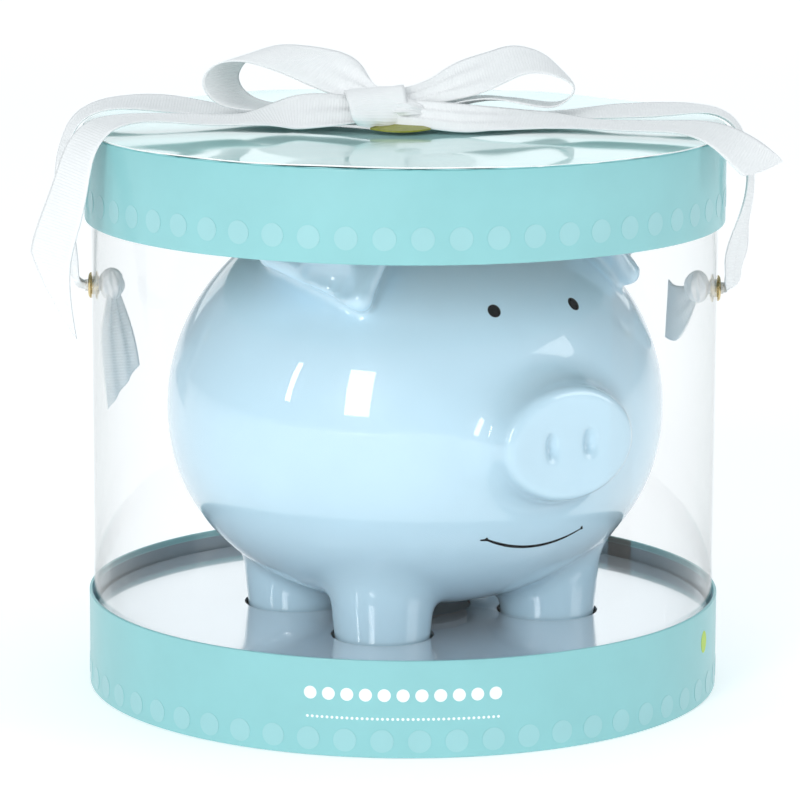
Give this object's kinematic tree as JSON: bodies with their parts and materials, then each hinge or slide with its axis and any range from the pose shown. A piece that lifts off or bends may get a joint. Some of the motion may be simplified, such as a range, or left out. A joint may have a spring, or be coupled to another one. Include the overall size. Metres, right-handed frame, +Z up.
{
  "type": "piggy bank",
  "caption": "Hollow ceramic pig coin bank with back slot and belly stopper, standing in a clear round gift drum with a paperboard base, lift-off lid and ribbon bow.",
  "frame": {"origin": "centre of the drum's underside, on the surface it stands on", "axes": "+Z up; -Y the way the pig faces; +X the pig's left. The drum's printed front, eyelets and bow are turned 33 degrees about Z from the pig."},
  "size_m": [0.2101, 0.1989, 0.1945],
  "materials": {
    "glazed_ceramic": "pale blue gloss glaze on stoneware",
    "white_rubber": "matte moulded",
    "mint_board": "satin printed paper on paperboard",
    "gloss_mint_paper": "gloss laminated paper",
    "grey_board": "raw greyboard",
    "white_card": "semi-gloss coated card",
    "clear_plastic": "clear polished sheet",
    "grosgrain": "ribbed grosgrain ribbon",
    "olive_tie": "satin paper twist",
    "brass": "polished pressed metal"
  },
  "bodies": {
    "drum": {"base_band": "mint_board", "base_disc": "grey_board", "platform_card": "white_card", "clear_sleeve": "clear_plastic", "eyelet_left": "brass", "eyelet_right": "brass", "eyelet_washer_left": "brass", "eyelet_washer_right": "brass", "ribbon_end_left": "grosgrain", "ribbon_end_right": "grosgrain"},
    "lid": {"lid_band": "mint_board", "lid_board": "grey_board", "lid_top_sheet": "gloss_mint_paper", "strap_left": "grosgrain", "strap_right": "grosgrain", "bow_loop_left": "grosgrain", "bow_loop_right": "grosgrain", "bow_tail_left": "grosgrain", "bow_tail_right": "grosgrain", "bow_knot": "grosgrain", "bow_tie": "olive_tie"},
    "pig": {"pig_body": "glazed_ceramic"},
    "stopper": {"belly_stopper": "white_rubber"}
  },
  "joints": [
    {"name": "lid_lift", "type": "slide", "parent": "drum", "child": "lid", "axis": [0, 0, 1], "range_m": [0, 0.036]},
    {"name": "pig_lift", "type": "slide", "parent": "drum", "child": "pig", "axis": [0, 0, 1], "range_m": [0, 0.006]},
    {"name": "stopper_pull", "type": "slide", "parent": "pig", "child": "stopper", "axis": [0, 0, -1], "range_m": [0, 0.018]}
  ]
}
